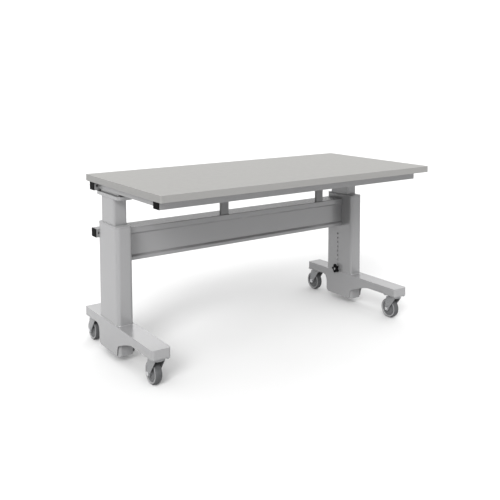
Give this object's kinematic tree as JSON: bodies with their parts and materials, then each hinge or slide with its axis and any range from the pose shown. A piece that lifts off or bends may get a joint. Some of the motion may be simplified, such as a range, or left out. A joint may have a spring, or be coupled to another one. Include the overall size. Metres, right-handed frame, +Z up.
{
  "type": "height-adjustable mobile workbench",
  "caption": "Mobile work table with two telescopic height-adjusting columns, a cross beam, a framed laminate top and swivel casters.",
  "frame": {"origin": "on the floor, under the middle of the object's outline", "axes": "+X along the top to the right, -Y to the working side, +Z up"},
  "size_m": [1.5, 0.87, 0.82],
  "materials": {
    "paint": "smooth satin powder coat, light silver grey",
    "dark_paint": "satin powder coat, mid grey",
    "laminate": "fine-textured laminate, warm light grey",
    "edge_band": "matt edge band, light grey",
    "black_plastic": "black moulded plastic",
    "grey_plastic": "grey moulded nylon",
    "rubber": "black rubber",
    "tyre": "grey non-marking rubber tread",
    "hub": "dark grey moulded wheel centre",
    "zinc": "zinc-plated pressed steel",
    "steel": "bright turned steel"
  },
  "bodies": {
    "base": {"left_foot": "paint", "left_outer_column": "paint", "left_column_collar": "grey_plastic", "left_strut_cylinder": "steel", "right_foot": "paint", "right_outer_column": "paint", "right_column_collar": "grey_plastic", "right_strut_cylinder": "steel", "cross_beam": "paint", "lower_rear_rail": "paint", "lower_rail_cap_left": "black_plastic", "lower_rail_cap_right": "black_plastic", "support_post_1": "dark_paint", "support_post_2": "dark_paint", "post_buffer_1": "rubber", "post_buffer_2": "rubber", "left_front_caster_plate": "zinc", "left_rear_caster_plate": "zinc", "right_front_caster_plate": "zinc", "right_rear_caster_plate": "zinc"},
    "lift": {"left_inner_column": "paint", "left_glide_shoe": "grey_plastic", "left_head_plate": "paint", "left_strut_rod": "steel", "left_side_member": "paint", "right_inner_column": "paint", "right_glide_shoe": "grey_plastic", "right_head_plate": "paint", "right_strut_rod": "steel", "right_side_member": "paint", "front_rail": "paint", "rear_rail": "paint", "front_rail_cap_left": "black_plastic", "front_rail_cap_right": "black_plastic", "rear_rail_cap_left": "black_plastic", "rear_rail_cap_right": "black_plastic", "cross_member_1": "paint", "cross_member_2": "paint", "tabletop": "laminate", "edge_band": "edge_band"},
    "left_front_swivel": {"left_front_caster_fork": "zinc", "left_front_axle": "steel"},
    "left_front_wheel": {"left_front_wheel_hub": "hub", "left_front_tyre": "tyre"},
    "left_rear_swivel": {"left_rear_caster_fork": "zinc", "left_rear_axle": "steel"},
    "left_rear_wheel": {"left_rear_wheel_hub": "hub", "left_rear_tyre": "tyre"},
    "right_front_swivel": {"right_front_caster_fork": "zinc", "right_front_axle": "steel"},
    "right_front_wheel": {"right_front_wheel_hub": "hub", "right_front_tyre": "tyre"},
    "right_rear_swivel": {"right_rear_caster_fork": "zinc", "right_rear_axle": "steel"},
    "right_rear_wheel": {"right_rear_wheel_hub": "hub", "right_rear_tyre": "tyre"},
    "left_screw": {"left_stop_screw": "steel"},
    "left_knob": {"left_star_knob": "black_plastic"},
    "right_screw": {"right_stop_screw": "steel"},
    "right_knob": {"right_star_knob": "black_plastic"}
  },
  "joints": [
    {"name": "lift", "type": "slide", "parent": "base", "child": "lift", "axis": [0, 0, 1], "range_m": [0, 0.2]},
    {"name": "left_front_swivel_turn", "type": "hinge", "parent": "base", "child": "left_front_swivel", "pos_m": [-0.691, -0.269, 0.1], "axis": [0, 0, 1], "continuous": true},
    {"name": "left_front_wheel_spin", "type": "hinge", "parent": "left_front_swivel", "child": "left_front_wheel", "pos_m": [-0.691, -0.239, 0.05], "axis": [1, 0, 0], "continuous": true},
    {"name": "left_rear_swivel_turn", "type": "hinge", "parent": "base", "child": "left_rear_swivel", "pos_m": [-0.691, 0.355, 0.1], "axis": [0, 0, 1], "continuous": true},
    {"name": "left_rear_wheel_spin", "type": "hinge", "parent": "left_rear_swivel", "child": "left_rear_wheel", "pos_m": [-0.691, 0.385, 0.05], "axis": [1, 0, 0], "continuous": true},
    {"name": "right_front_swivel_turn", "type": "hinge", "parent": "base", "child": "right_front_swivel", "pos_m": [0.691, -0.269, 0.1], "axis": [0, 0, 1], "continuous": true},
    {"name": "right_front_wheel_spin", "type": "hinge", "parent": "right_front_swivel", "child": "right_front_wheel", "pos_m": [0.691, -0.239, 0.05], "axis": [1, 0, 0], "continuous": true},
    {"name": "right_rear_swivel_turn", "type": "hinge", "parent": "base", "child": "right_rear_swivel", "pos_m": [0.691, 0.355, 0.1], "axis": [0, 0, 1], "continuous": true},
    {"name": "right_rear_wheel_spin", "type": "hinge", "parent": "right_rear_swivel", "child": "right_rear_wheel", "pos_m": [0.691, 0.385, 0.05], "axis": [1, 0, 0], "continuous": true},
    {"name": "left_screw_travel", "type": "slide", "parent": "base", "child": "left_screw", "axis": [1, 0, 0], "range_m": [0, 0.009]},
    {"name": "left_knob_turn", "type": "hinge", "parent": "left_screw", "child": "left_knob", "pos_m": [-0.64, 0.136, 0.185], "axis": [1, 0, 0], "range_deg": [0, 2161]},
    {"name": "right_screw_travel", "type": "slide", "parent": "base", "child": "right_screw", "axis": [-1, 0, 0], "range_m": [0, 0.009]},
    {"name": "right_knob_turn", "type": "hinge", "parent": "right_screw", "child": "right_knob", "pos_m": [0.64, 0.136, 0.185], "axis": [-1, 0, 0], "range_deg": [0, 2161]}
  ],
  "couplings": [
    {"joint": "left_knob_turn", "follows": "left_screw_travel", "rad_per_m": 4188.8},
    {"joint": "right_knob_turn", "follows": "right_screw_travel", "rad_per_m": 4188.8}
  ]
}
